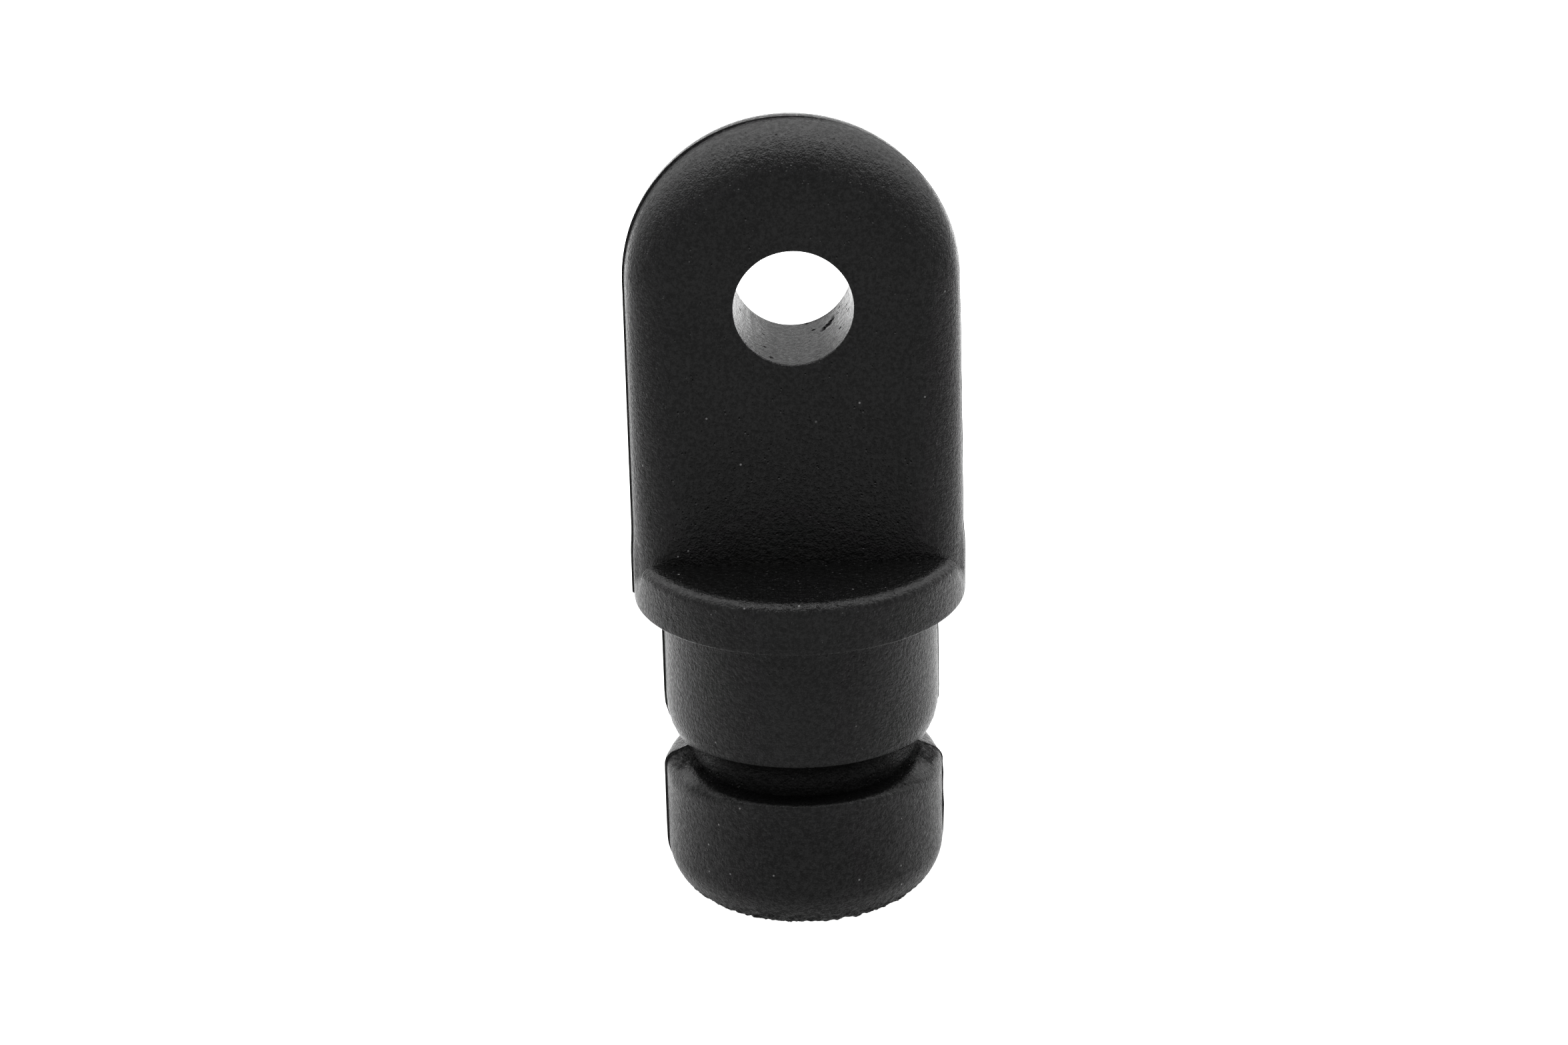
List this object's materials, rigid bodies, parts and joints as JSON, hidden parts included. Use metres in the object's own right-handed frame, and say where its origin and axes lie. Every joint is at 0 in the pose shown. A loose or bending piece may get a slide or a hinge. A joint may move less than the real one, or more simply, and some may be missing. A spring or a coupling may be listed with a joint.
{
  "type": "inside eye end",
  "caption": "Black nylon inside eye end for a round canopy tube: a flat tongue with a cross bore, a round collar and a plug with a locking groove.",
  "frame": {"origin": "centre of the plug's lower face, on the tube's axis", "axes": "+Z along the tube's axis, out of the tube towards the eye; the eye's bore runs along Y, and the mould's parting plane is Y = 0"},
  "size_m": [0.022, 0.022, 0.0547],
  "materials": {
    "black_nylon": "satin moulded glass-filled nylon with a fine grain"
  },
  "bodies": {
    "root": {"eye_end": "black_nylon"}
  },
  "joints": []
}
